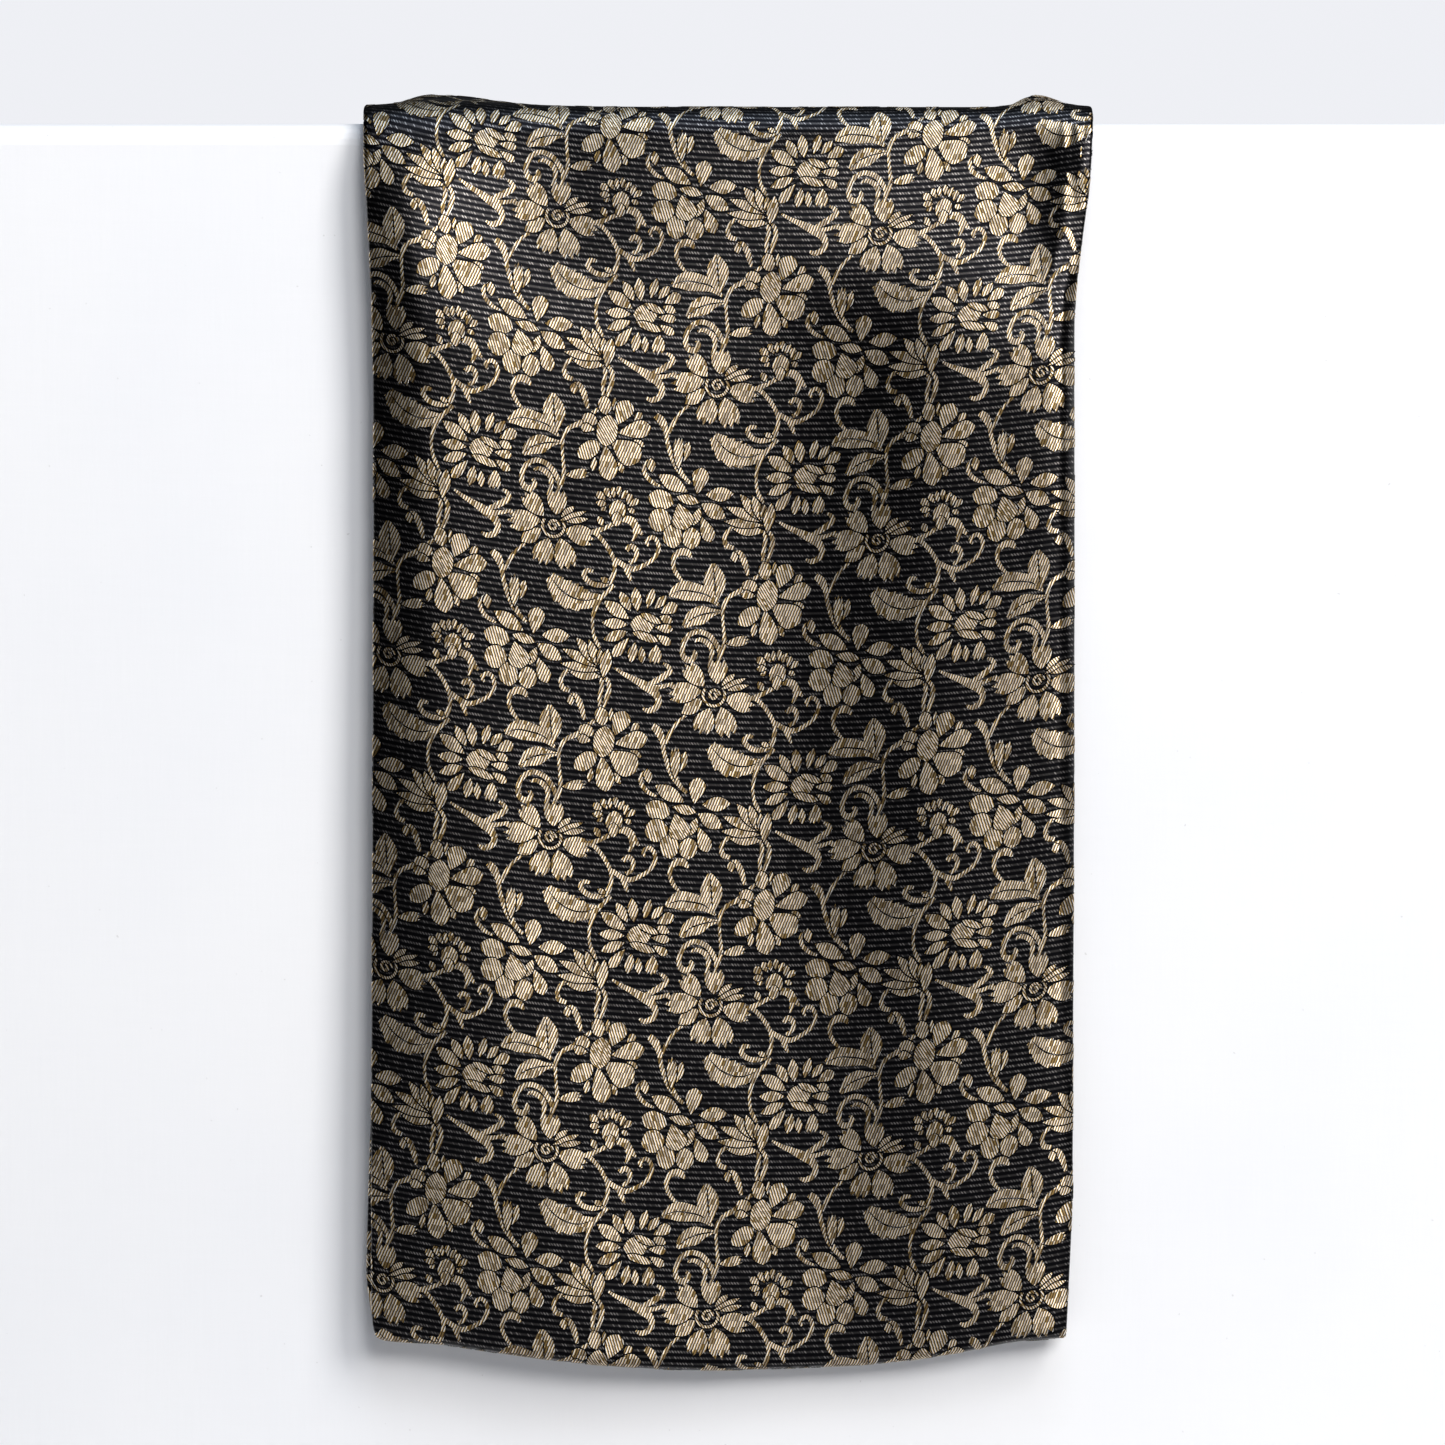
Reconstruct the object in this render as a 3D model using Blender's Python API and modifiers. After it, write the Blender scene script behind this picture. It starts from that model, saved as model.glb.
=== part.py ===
"""A length of brocade silk, folded into a narrow bundle and hung over the top of a plain board.

Metres, +Z up. The origin is the middle of the board's base, +X runs along the board and the
cloth's shown side faces -Y. The cloth is one sheet: its two long sides are folded in behind
the middle, and the folded bundle runs up the board's back, over its top, down its front,
round a soft fold at the bottom and up again behind the shown panel.
"""

import math

import bpy
import numpy as np

MM = 0.001

# The board
BOARD_WIDTH = 400 * MM
BOARD_DEPTH = 25 * MM
BOARD_HEIGHT = 350 * MM
BOARD_TOP_RADIUS = 6 * MM
BOARD_EDGE_SHARE = 0.15
BOARD_BASE_SHARE = 0.08
BOARD_EDGE_STEPS = 6

# The sheet and its layers
SHEET_THICKNESS = 1.0 * MM
LAYER_PITCH = 1.4 * MM
BOARD_CLEARANCE = 2.15 * MM
FLAT_WIDTH = 336 * MM

# The side view of the folded bundle, measured on its outer layer
OUTER_STAND_OFF = BOARD_CLEARANCE + SHEET_THICKNESS / 2 + LAYER_PITCH
SHOULDER_RADIUS = BOARD_TOP_RADIUS + OUTER_STAND_OFF
TOP_FLAT = BOARD_DEPTH - 2 * BOARD_TOP_RADIUS
FRONT_FLARE = math.radians(10)
FLARE_LENGTH = 70 * MM
HEM_RADIUS = 3.0 * MM
HEM_HEIGHT = 35.8 * MM
BACK_LENGTH = 200 * MM
TURN_UP_LENGTH = 245 * MM
FRONT_SHOULDER_TURN = math.pi / 2 - FRONT_FLARE

SHOULDER_DROP = SHOULDER_RADIUS * (1 - math.cos(FRONT_SHOULDER_TURN))
FLARE_DROP = FLARE_LENGTH * math.sin(FRONT_FLARE) / FRONT_FLARE
TOP_HEIGHT = BOARD_HEIGHT + OUTER_STAND_OFF
HEM_CENTRE_HEIGHT = HEM_HEIGHT + SHEET_THICKNESS / 2 + HEM_RADIUS
FRONT_LENGTH = TOP_HEIGHT - SHOULDER_DROP - FLARE_DROP - HEM_CENTRE_HEIGHT

# The runs of the bundle from its cut end at the back: name, length, turn and steps
RUNS = (
    ("back", BACK_LENGTH, 0.0, 9),
    ("back shoulder", SHOULDER_RADIUS * math.pi / 2, math.pi / 2, 5),
    ("top", TOP_FLAT, 0.0, 2),
    ("front shoulder", SHOULDER_RADIUS * FRONT_SHOULDER_TURN, FRONT_SHOULDER_TURN, 5),
    ("flare", FLARE_LENGTH, FRONT_FLARE, 5),
    ("front", FRONT_LENGTH, 0.0, 11),
    ("hem", HEM_RADIUS * math.pi, math.pi, 6),
    ("turn-up", TURN_UP_LENGTH, 0.0, 9),
)
BOWED_RUN = "front"
HEM_RUN = 6
TOP_MIDDLE = BACK_LENGTH + SHOULDER_RADIUS * math.pi / 2 + TOP_FLAT / 2
FRONT_END = sum(length for name, length, turn, steps in RUNS[:HEM_RUN]) - TOP_MIDDLE
TURN_UP_START = FRONT_END + HEM_RADIUS * math.pi
START_HEADING = math.pi / 2
FRONT_HEADING = 1.5 * math.pi

# Folded edges of the outer layer, by distance along it from the top: place, left, right
OUTLINE = (
    (-219 * MM, -84.0 * MM, 85.5 * MM),
    (-120 * MM, -86.0 * MM, 87.5 * MM),
    (-40 * MM, -88.0 * MM, 90.5 * MM),
    (0 * MM, -89.8 * MM, 92.8 * MM),
    (25 * MM, -88.9 * MM, 91.8 * MM),
    (70 * MM, -87.1 * MM, 87.9 * MM),
    (110 * MM, -86.8 * MM, 87.9 * MM),
    (290 * MM, -87.0 * MM, 87.1 * MM),
    (322 * MM, -86.9 * MM, 85.8 * MM),
    (333 * MM, -86.3 * MM, 85.2 * MM),
    (347 * MM, -88.4 * MM, 84.6 * MM),
    (400 * MM, -87.0 * MM, 85.2 * MM),
    (581 * MM, -84.6 * MM, 84.4 * MM),
)

# Where the outer layer rolls back to its folded edge: place, left width, right width
EDGE_ROLL = (
    (-219 * MM, 9 * MM, 7 * MM),
    (0 * MM, 10 * MM, 8 * MM),
    (90 * MM, 13 * MM, 6 * MM),
    (200 * MM, 17 * MM, 6 * MM),
    (327 * MM, 30 * MM, 9 * MM),
)
FRONT_ROLL_DEPTH = 3.0 * MM
BACK_ROLL_DEPTH = 0.9 * MM
ROLL_LIMIT = 1.3

# Long soft folds of the front: x at the top and foot, half width, height at the top and foot
FRONT_FOLDS = (
    (-69 * MM, -52 * MM, 19 * MM, 3.2 * MM, 1.2 * MM),
    (24 * MM, 40 * MM, 30 * MM, -1.9 * MM, -1.3 * MM),
    (73 * MM, 70 * MM, 11 * MM, 2.2 * MM, 0.9 * MM),
)
FOLD_ONSET = 10 * MM
ROLL_ONSET = 24 * MM
FOLD_RISE = 62 * MM
TURN_UP_SHARE = 0.7

# Soft folds of the free back: x at the top and foot, half width, height at the top and foot
BACK_FOLDS = (
    (-58 * MM, -46 * MM, 17 * MM, 1.6 * MM, 2.8 * MM),
    (14 * MM, 6 * MM, 22 * MM, 0.6 * MM, 1.2 * MM),
    (66 * MM, 60 * MM, 14 * MM, 1.4 * MM, 2.6 * MM),
)

# Puffed corners over the board's top: x, half widths to the left and right, height
CORNER_PUFFS = (
    (-74 * MM, 11 * MM, 26 * MM, 4.9 * MM),
    (80 * MM, 5.5 * MM, 6.5 * MM, 4.8 * MM),
)
PUFF_PLACE = -9 * MM
PUFF_HALF_LENGTH = 15 * MM

# The bottom fold hangs lowest near the middle and is drawn up at its corners: x, rise
HEM_RISE = (
    (-90 * MM, 7.4 * MM),
    (-72 * MM, 6.2 * MM),
    (-55 * MM, 3.8 * MM),
    (-38 * MM, 1.8 * MM),
    (-4 * MM, 0.0 * MM),
    (32 * MM, 1.0 * MM),
    (58 * MM, 3.7 * MM),
    (76 * MM, 5.7 * MM),
    (88 * MM, 7.9 * MM),
)

# Steps across the sheet
HALF_STEPS = 8
ACROSS_CROWDING = 0.86
TURN_STEPS = 3
LEAST_STEP = 0.03
DIFFERENCE_ACROSS = 0.001
DIFFERENCE_ALONG = 0.00002

BOARD_WHITE = (0.86, 0.87, 0.90, 1.0)
BOARD_ROUGHNESS = 0.62
CLOTH_GOLD_BLACK = (0.19, 0.14, 0.075, 1.0)
CLOTH_ROUGHNESS = 0.48
CLOTH_METALLIC = 0.35


def make_material(name, colour, roughness, metallic):
    """A Principled surface of one colour."""
    material = bpy.data.materials.new(name)
    material.use_nodes = True
    shader = material.node_tree.nodes["Principled BSDF"]
    shader.inputs["Base Color"].default_value = colour
    shader.inputs["Roughness"].default_value = roughness
    shader.inputs["Metallic"].default_value = metallic
    material.diffuse_color = colour
    return material


def ease(share):
    """A soft step from 0 to 1."""
    share = np.clip(share, 0.0, 1.0)
    return share * share * (3.0 - 2.0 * share)


def hump(place, middle, half_width):
    """A soft ridge of height 1."""
    return np.exp(-(((place - middle) / half_width) ** 2))


def along_table(place, table, column):
    """A smooth curve through one column of a table, by the place in its first column."""
    knots = np.array([row[0] for row in table])
    values = np.array([row[column] for row in table])
    secants = np.diff(values) / np.diff(knots)
    product = secants[:-1] * secants[1:]
    total = np.where(product > 0.0, secants[:-1] + secants[1:], 1.0)
    inner = np.where(product > 0.0, 2.0 * product / total, 0.0)
    slopes = np.concatenate((secants[:1], inner, secants[-1:]))
    place = np.clip(place, knots[0], knots[-1])
    row = np.clip(np.searchsorted(knots, place) - 1, 0, len(knots) - 2)
    span = knots[row + 1] - knots[row]
    t = (place - knots[row]) / span
    start = (1 + 2 * t) * (1 - t) ** 2 * values[row] + t * (1 - t) ** 2 * span * slopes[row]
    end = t * t * (3 - 2 * t) * values[row + 1] + t * t * (t - 1) * span * slopes[row + 1]
    return start + end


def side_view(place, x):
    """Point and heading, in the side view, of the outer layer at a place along it."""
    rise = along_table(x, HEM_RISE, 1)
    travel = place + TOP_MIDDLE
    y = np.full_like(place, BOARD_DEPTH / 2 + OUTER_STAND_OFF)
    z = np.full_like(place, TOP_HEIGHT - SHOULDER_RADIUS - BACK_LENGTH)
    heading = np.full_like(place, START_HEADING)
    for name, length, turn, steps in RUNS:
        share = np.clip(travel / length, 0.0, 1.0)
        real_length = length - rise if name == BOWED_RUN else length
        bend = turn * share
        chord = real_length * share * np.sinc(bend / (2 * math.pi))
        y = y + chord * np.cos(heading + bend / 2)
        z = z + chord * np.sin(heading + bend / 2)
        heading = heading + bend
        travel = travel - length
    return y, z, heading


def fold_height(x, place, folds, foot):
    """The long folds of one hanging side, which begin below the board's top."""
    down = np.clip(place / foot, 0.0, 1.0)
    height = np.zeros_like(x)
    for x_top, x_foot, half_width, top, low in folds:
        middle = x_top + (x_foot - x_top) * down
        height = height + (top + (low - top) * down) * hump(x, middle, half_width)
    return height * ease((place - FOLD_ONSET) / FOLD_RISE)


def relief(x, place, left, right):
    """How far the outer layer stands out from its plain side view."""
    mirrored = np.where(place > FRONT_END, np.maximum(2 * FRONT_END - place, 0.0), place)
    front = fold_height(x, mirrored, FRONT_FOLDS, FRONT_END)
    back = fold_height(x, -place, BACK_FOLDS, TOP_MIDDLE)
    most = np.where(place > 0.0, FRONT_ROLL_DEPTH, BACK_ROLL_DEPTH)
    depth = most * ease((np.abs(mirrored) - ROLL_ONSET) / FOLD_RISE)
    roll_left = along_table(mirrored, EDGE_ROLL, 1)
    roll_right = along_table(mirrored, EDGE_ROLL, 2)
    beyond_left = np.clip((left + roll_left - x) / roll_left, 0.0, ROLL_LIMIT)
    beyond_right = np.clip((x - right + roll_right) / roll_right, 0.0, ROLL_LIMIT)
    height = front + back - depth * (beyond_left**2 + beyond_right**2)
    for middle, to_left, to_right, top in CORNER_PUFFS:
        half_width = np.where(x < middle, to_left, to_right)
        puff = top * hump(x, middle, half_width)
        height = height + puff * hump(place, PUFF_PLACE, PUFF_HALF_LENGTH)
    behind = ease((place - FRONT_END) / (TURN_UP_START - FRONT_END))
    return height * (1.0 - (1.0 - TURN_UP_SHARE) * behind)


def outer_layer(across, place):
    """Points of the outer layer, across from -1 to 1 and along the sheet by place."""
    left = along_table(place, OUTLINE, 1)
    right = along_table(place, OUTLINE, 2)
    x = left + (right - left) * (across + 1.0) / 2.0
    y, z, heading = side_view(place, x)
    outward = np.minimum(heading, FRONT_HEADING) - math.pi / 2
    height = relief(x, place, left, right)
    return np.stack((x, y + height * np.cos(outward), z + height * np.sin(outward)), axis=-1)


def unit(vectors):
    """The vectors at length 1."""
    return vectors / np.linalg.norm(vectors, axis=-1, keepdims=True)


def outer_frame(across, place):
    """Points of the outer layer with its outward normal and its direction across."""
    right = outer_layer(across + DIFFERENCE_ACROSS, place)
    left = outer_layer(across - DIFFERENCE_ACROSS, place)
    after = outer_layer(across, place + DIFFERENCE_ALONG)
    before = outer_layer(across, place - DIFFERENCE_ALONG)
    sideways = unit(right - left)
    normal = unit(np.cross(after - before, sideways))
    return outer_layer(across, place), normal, sideways


def crowded(share):
    """A place across, from 0 in the middle to 1 at the folded edge, denser near the edge."""
    swing = ACROSS_CROWDING * math.pi / 2
    return math.sin(swing * share) / math.sin(swing)


def bundle_points(places):
    """Rows of points across the folded sheet, from one cut edge to the other."""
    ones = np.ones_like(places)
    width = along_table(places, OUTLINE, 2) - along_table(places, OUTLINE, 1)
    flap = (FLAT_WIDTH - width) / 2 - math.pi * LAYER_PITCH / 2
    cut = 1.0 - 2 * flap / width
    columns = []

    def add_inner(across):
        point, normal, sideways = outer_frame(across, places)
        columns.append(point - LAYER_PITCH * normal)

    def add_turn(side, angle):
        point, normal, sideways = outer_frame(side * ones, places)
        half = LAYER_PITCH / 2
        swing = half * (math.cos(angle) * normal + math.sin(angle) * side * sideways)
        columns.append(point - half * normal + swing)

    flap_places = [
        np.maximum(crowded(step / HALF_STEPS), cut + LEAST_STEP * step)
        for step in range(HALF_STEPS)
    ]
    for across in flap_places:
        add_inner(-across)
    for step in range(TURN_STEPS):
        add_turn(-1, math.pi * (1.0 - step / TURN_STEPS))
    for step in range(-HALF_STEPS, HALF_STEPS + 1):
        columns.append(outer_layer(crowded(step / HALF_STEPS) * ones, places))
    for step in range(TURN_STEPS):
        add_turn(1, math.pi * (step + 1) / TURN_STEPS)
    for across in reversed(flap_places):
        add_inner(across)
    return np.stack(columns, axis=1)


def run_places():
    """The places along the sheet where it has a row of points."""
    start = -TOP_MIDDLE
    places = [start]
    for name, length, turn, steps in RUNS:
        places += [start + length * (step + 1) / steps for step in range(steps)]
        start += length
    return np.array(places)


def make_cloth(collection):
    """The folded cloth: a loft through its rows, thickened to one solid sheet."""
    points = bundle_points(run_places())
    rows, columns = points.shape[:2]
    corners = [
        (row * columns + column, row * columns + column + 1)
        for row in range(rows - 1)
        for column in range(columns - 1)
    ]
    faces = [(first, second, second + columns, first + columns) for first, second in corners]
    mesh = bpy.data.meshes.new("cloth")
    mesh.from_pydata(points.reshape(-1, 3).tolist(), [], faces)
    mesh.materials.append(
        make_material("brocade", CLOTH_GOLD_BLACK, CLOTH_ROUGHNESS, CLOTH_METALLIC)
    )
    mesh.shade_smooth()
    cloth = bpy.data.objects.new("cloth", mesh)
    collection.objects.link(cloth)
    thickness = cloth.modifiers.new("thickness", "SOLIDIFY")
    thickness.thickness = SHEET_THICKNESS
    thickness.offset = 0.0
    thickness.use_even_offset = True
    return cloth


def make_board(collection):
    """The board: a plain block with a rounded top and eased other edges."""
    bpy.ops.mesh.primitive_cube_add(size=1.0)
    board = bpy.context.object
    board.name = "board"
    board.data.name = "board"
    for vertex in board.data.vertices:
        vertex.co.x *= BOARD_WIDTH
        vertex.co.y *= BOARD_DEPTH
        vertex.co.z = (vertex.co.z + 0.5) * BOARD_HEIGHT
    share = board.data.attributes.new("bevel_weight_edge", "FLOAT", "EDGE")
    for edge in board.data.edges:
        ends = [board.data.vertices[index].co for index in edge.vertices]
        along_x = abs(ends[0].x - ends[1].x) > BOARD_DEPTH
        at_top = min(end.z for end in ends) > BOARD_HEIGHT / 2
        at_base = max(end.z for end in ends) < BOARD_HEIGHT / 2
        if along_x and at_top:
            share.data[edge.index].value = 1.0
        elif at_base:
            share.data[edge.index].value = BOARD_BASE_SHARE
        else:
            share.data[edge.index].value = BOARD_EDGE_SHARE
    rounding = board.modifiers.new("rounding", "BEVEL")
    rounding.limit_method = "WEIGHT"
    rounding.width = BOARD_TOP_RADIUS
    rounding.segments = BOARD_EDGE_STEPS
    board.data.materials.append(
        make_material("white paint", BOARD_WHITE, BOARD_ROUGHNESS, 0.0)
    )
    board.data.shade_smooth()
    for held in list(board.users_collection):
        held.objects.unlink(board)
    collection.objects.link(board)
    return board


def main():
    for old in list(bpy.data.objects):
        bpy.data.objects.remove(old, do_unlink=True)
    collection = bpy.data.collections.new("folded_cloth_over_board")
    bpy.context.scene.collection.children.link(collection)
    make_board(collection)
    make_cloth(collection)


main()
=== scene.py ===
"""The look of a floral brocade folded into a narrow bundle and hung over a white board.

The cloth is one fine sheet on the folds of its solid: its sides are folded in behind, and it
runs up the board's back, over its top, down its front, round a soft fold and up again behind
the shown panel. The gold figure is woven from small strips that lie on the sheet. Metres, in
the frame's own axes: +X along the board, -Y towards the camera, +Z up.
"""

import math

import bmesh
import bpy
import numpy as np
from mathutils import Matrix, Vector


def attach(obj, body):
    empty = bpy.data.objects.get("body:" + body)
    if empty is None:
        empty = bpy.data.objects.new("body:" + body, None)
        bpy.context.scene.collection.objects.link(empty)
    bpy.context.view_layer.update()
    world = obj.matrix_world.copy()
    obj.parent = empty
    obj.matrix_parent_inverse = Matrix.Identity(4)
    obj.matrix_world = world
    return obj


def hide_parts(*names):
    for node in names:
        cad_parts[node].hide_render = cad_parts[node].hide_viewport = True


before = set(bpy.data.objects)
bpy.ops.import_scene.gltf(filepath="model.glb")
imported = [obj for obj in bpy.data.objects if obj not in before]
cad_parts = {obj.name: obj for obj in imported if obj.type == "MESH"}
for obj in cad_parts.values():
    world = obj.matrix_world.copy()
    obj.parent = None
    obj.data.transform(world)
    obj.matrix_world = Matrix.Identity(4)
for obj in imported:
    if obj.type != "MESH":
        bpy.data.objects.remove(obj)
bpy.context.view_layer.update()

MM = 0.001


def metres(*rows):
    """The rows of a table that is written in millimetres."""
    return tuple(tuple(value * MM for value in row) for row in rows)


# The board and the folded sheet, as the frame's solids have them
BOARD_DEPTH = 25 * MM
BOARD_HEIGHT = 350 * MM
BOARD_TOP_RADIUS = 6 * MM
SOLID_THICKNESS = 1.0 * MM
LAYER_PITCH = 1.4 * MM
BOARD_CLEARANCE = 2.15 * MM
FLAT_WIDTH = 336 * MM

# The real brocade's thickness, and how far its gold floats stand on it
SHEET_THICKNESS = 0.5 * MM
FLOAT_LIFT = 0.06 * MM
FLOAT_LIFT_STEP = 0.006 * MM
FLOAT_LIFT_LEVELS = 12

# The side view of the folded bundle, measured on its outer layer
OUTER_STAND_OFF = BOARD_CLEARANCE + SOLID_THICKNESS / 2 + LAYER_PITCH
SHOULDER_RADIUS = BOARD_TOP_RADIUS + OUTER_STAND_OFF
TOP_FLAT = BOARD_DEPTH - 2 * BOARD_TOP_RADIUS
FRONT_FLARE = math.radians(10)
FLARE_LENGTH = 70 * MM
HEM_RADIUS = 3.0 * MM
HEM_HEIGHT = 35.8 * MM
BACK_LENGTH = 200 * MM
TURN_UP_LENGTH = 245 * MM
FRONT_SHOULDER_TURN = math.pi / 2 - FRONT_FLARE

SHOULDER_DROP = SHOULDER_RADIUS * (1 - math.cos(FRONT_SHOULDER_TURN))
FLARE_DROP = FLARE_LENGTH * math.sin(FRONT_FLARE) / FRONT_FLARE
TOP_HEIGHT = BOARD_HEIGHT + OUTER_STAND_OFF
HEM_CENTRE_HEIGHT = HEM_HEIGHT + SOLID_THICKNESS / 2 + HEM_RADIUS
FRONT_LENGTH = TOP_HEIGHT - SHOULDER_DROP - FLARE_DROP - HEM_CENTRE_HEIGHT

# The runs of the bundle from its cut end at the back: name, length, turn and row spacing
RUNS = (
    ("back", BACK_LENGTH, 0.0, 3.2 * MM),
    ("back shoulder", SHOULDER_RADIUS * math.pi / 2, math.pi / 2, 1.0 * MM),
    ("top", TOP_FLAT, 0.0, 1.6 * MM),
    ("front shoulder", SHOULDER_RADIUS * FRONT_SHOULDER_TURN, FRONT_SHOULDER_TURN, 0.8 * MM),
    ("flare", FLARE_LENGTH, FRONT_FLARE, 1.6 * MM),
    ("front", FRONT_LENGTH, 0.0, 2.0 * MM),
    ("hem", HEM_RADIUS * math.pi, math.pi, 0.6 * MM),
    ("turn-up", TURN_UP_LENGTH, 0.0, 4.5 * MM),
)
BOWED_RUN = "front"
HEM_RUN = 6
TOP_MIDDLE = BACK_LENGTH + SHOULDER_RADIUS * math.pi / 2 + TOP_FLAT / 2
FRONT_END = sum(length for name, length, turn, spacing in RUNS[:HEM_RUN]) - TOP_MIDDLE
FRONT_START = FRONT_END - FRONT_LENGTH
TURN_UP_START = FRONT_END + HEM_RADIUS * math.pi
SHEET_END = TURN_UP_START + TURN_UP_LENGTH
START_HEADING = math.pi / 2
FRONT_HEADING = 1.5 * math.pi

# Folded edges of the outer layer, by distance along it from the top: place, left, right
OUTLINE = metres(
    (-219, -84.0, 85.5),
    (-120, -86.0, 87.5),
    (-40, -88.0, 90.5),
    (0, -89.8, 92.8),
    (25, -88.9, 91.8),
    (70, -87.1, 87.9),
    (110, -86.8, 87.9),
    (290, -87.0, 87.1),
    (322, -86.9, 85.8),
    (333, -86.3, 85.2),
    (347, -88.4, 84.6),
    (400, -87.0, 85.2),
    (581, -84.6, 84.4),
)

# Where the outer layer rolls back to its folded edge: place, left width, right width, depth
EDGE_ROLL = metres(
    (-219, 9, 7, 3.0),
    (0, 10, 8, 4.6),
    (90, 13, 6, 4.2),
    (200, 17, 6, 3.2),
    (327, 30, 9, 1.8),
)
BACK_ROLL_DEPTH = 0.9 * MM
ROLL_LIMIT = 1.3

# Bends across the hanging front, whose soft folds are fuller than the solid's own: x at the
# top and foot, softness, change of slope below the board's edge and from the fold level down
FRONT_BENDS = (
    (-79 * MM, -60 * MM, 3 * MM, -0.150, 0.0),
    (-71 * MM, -32 * MM, 4 * MM, 0.0, -0.105),
    (-50 * MM, -5 * MM, 9 * MM, 0.168, 0.030),
    (-22 * MM, -4 * MM, 7 * MM, -0.060, 0.005),
    (-4 * MM, 8 * MM, 10 * MM, 0.040, 0.020),
    (19 * MM, 32 * MM, 6 * MM, -0.012, 0.172),
    (52 * MM, 53 * MM, 4 * MM, 0.0, -0.138),
    (64 * MM, 64 * MM, 4 * MM, 0.0, 0.015),
    (79 * MM, 80 * MM, 2 * MM, 0.150, 0.0),
)

# The front's height at its left, the bends' drift, and where folds and rolled edges set in
FRONT_RIDGE = 4.0 * MM
BEND_DRIFT = 2.5
BENDS_FROM = 4 * MM
BENDS_RISE = 26 * MM
FOLD_LEVEL = 42 * MM
FOLD_LEVEL_RISE = 34 * MM
FOLD_ONSET = 10 * MM
ROLL_ONSET = 24 * MM
FOLD_RISE = 62 * MM
TURN_UP_SHARE = 0.7

# Soft folds of the free back: x at the top and foot, half width, height at the top and foot
BACK_FOLDS = metres(
    (-58, -46, 17, 1.6, 2.8),
    (14, 6, 22, 0.6, 1.2),
    (66, 60, 14, 1.4, 2.6),
)

# Puffed corners over the board's top: x, half widths to the left and right, height
CORNER_PUFFS = metres(
    (-74, 11, 26, 4.9),
    (80, 6.5, 9, 4.8),
)
PUFF_PLACE = -9 * MM
PUFF_HALF_LENGTH = 15 * MM

# The bottom fold hangs lowest near the middle and is drawn up at its corners: x, rise
HEM_RISE = metres(
    (-91, 11.5),
    (-87.5, 9.0),
    (-84, 7.6),
    (-72, 6.8),
    (-55, 4.5),
    (-38, 2.3),
    (-4, 0.0),
    (32, 1.0),
    (58, 4.2),
    (76, 7.4),
    (88, 8.0),
)

# Pressed creases that the fine sheet adds: x and place of each end, half width, height
CREASES = metres(
    (85.9, 20, 84.6, 118, 1.1, 0.42),
    (89.4, 18, 89.0, 34, 0.9, 0.30),
)
CREASE_ONSET = 6.0
CREASE_FADE = 3.0

# Shallow unevenness of the hanging sheet: waves a metre across and along, phase, height
RIPPLES = (
    (9.0, 3.1, 0.4, 0.16 * MM),
    (17.0, -4.3, 2.1, 0.09 * MM),
    (5.0, 11.0, 4.0, 0.10 * MM),
    (26.0, 7.0, 1.2, 0.04 * MM),
)

# Small steps across and along the outer layer, to find how it faces
DIFFERENCE_ACROSS = 0.001
DIFFERENCE_ALONG = 0.00002

# Columns of the fine sheet
OUTER_COLUMNS = 84
TURN_COLUMNS = 6
FLAP_COLUMNS = 20

# The brocade's chart, in squares of a quarter millimetre, counted right and down from the
# middle of a dahlia
CHART_SQUARE = 0.25 * MM
REPEAT_WIDTH = 162
REPEAT_HEIGHT = 311
SPARE_COPIES = 2

# Where that dahlia lies on the outer layer, and how the cloth's threads run there: the wefts
# bow upwards to both sides, tilt a little more down the length, and the warps lean
CHART_X = -20.0 * MM
CHART_PLACE = 145.6 * MM
CHART_TOP = 63.5 * MM
WEFT_LOW_X = 22.5 * MM
WEFT_BOW = 1.06
WEFT_TILT = 0.112
WARP_LEAN = 0.0107

# Cuts through the flat figure where the cloth turns, and how far round its edges the figure goes
CUT_TOLERANCE = 0.0000002
TURN_CUT = 0.28 * MM
HEM_CUT = 0.7 * MM
EDGE_WRAP = 3 * MM
END_MARGIN = 0.4 * MM

# The dark outline round each petal
EDGE_NAMES = ("left_edge", "right_edge")
OUTLINE_WIDTH = 0.33 * MM
OUTLINE_SOFTNESS = 0.08 * MM
EDGE_JAG = 0.12 * MM

# The gold yarn's floats: their pitch, lean and rows, the part of its pitch and of its row that
# each fills, their random brightness, which is painted glint, the pale side of each float, which
# is a painted highlight, its tones and its height
GOLD_PITCH = 0.70 * MM
GOLD_LEAN = 0.36
GOLD_ROW = 1.45 * MM
GOLD_ROW_SHIFT = 0.12
FLOAT_START = (0.0, 0.12)
FLOAT_END = (0.70, 0.56)
BINDING_EDGE = (0.5, 0.42)
BINDING_DEPTH = 0.4
# Each float's random brightness is painted glint
PAINTED_GLINT_SPREAD = 1.1
PAINTED_GLINT_LEAST = 0.3
# The pale side of each float, and how often it shows, is a painted highlight
PAINTED_HIGHLIGHT_PART = (0.42, 0.28)
PAINTED_HIGHLIGHT_CHANCE = (0.0, 0.16)
FLOAT_HEIGHT = 0.12 * MM
# The pale colour is a painted highlight on the gold; the amber and the gap colours are the yarn's
# own
GOLD_PAINTED_HIGHLIGHT = (0.92, 0.88, 0.80, 1.0)
GOLD_AMBER = (0.56, 0.37, 0.12, 1.0)
GOLD_GAP = (0.045, 0.026, 0.013, 1.0)
GOLD_BUMP = 0.03

# Each kind of shape in the figure: its lift, in steps, and the lean and rows of its floats
KINDS = {
    "petal": (4, GOLD_LEAN, GOLD_ROW),
    "back": (4, -GOLD_LEAN, GOLD_ROW),
    "heart": (16, -2 * GOLD_LEAN, GOLD_ROW / 2),
    "vine": (0, GOLD_LEAN, GOLD_ROW),
}

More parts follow.
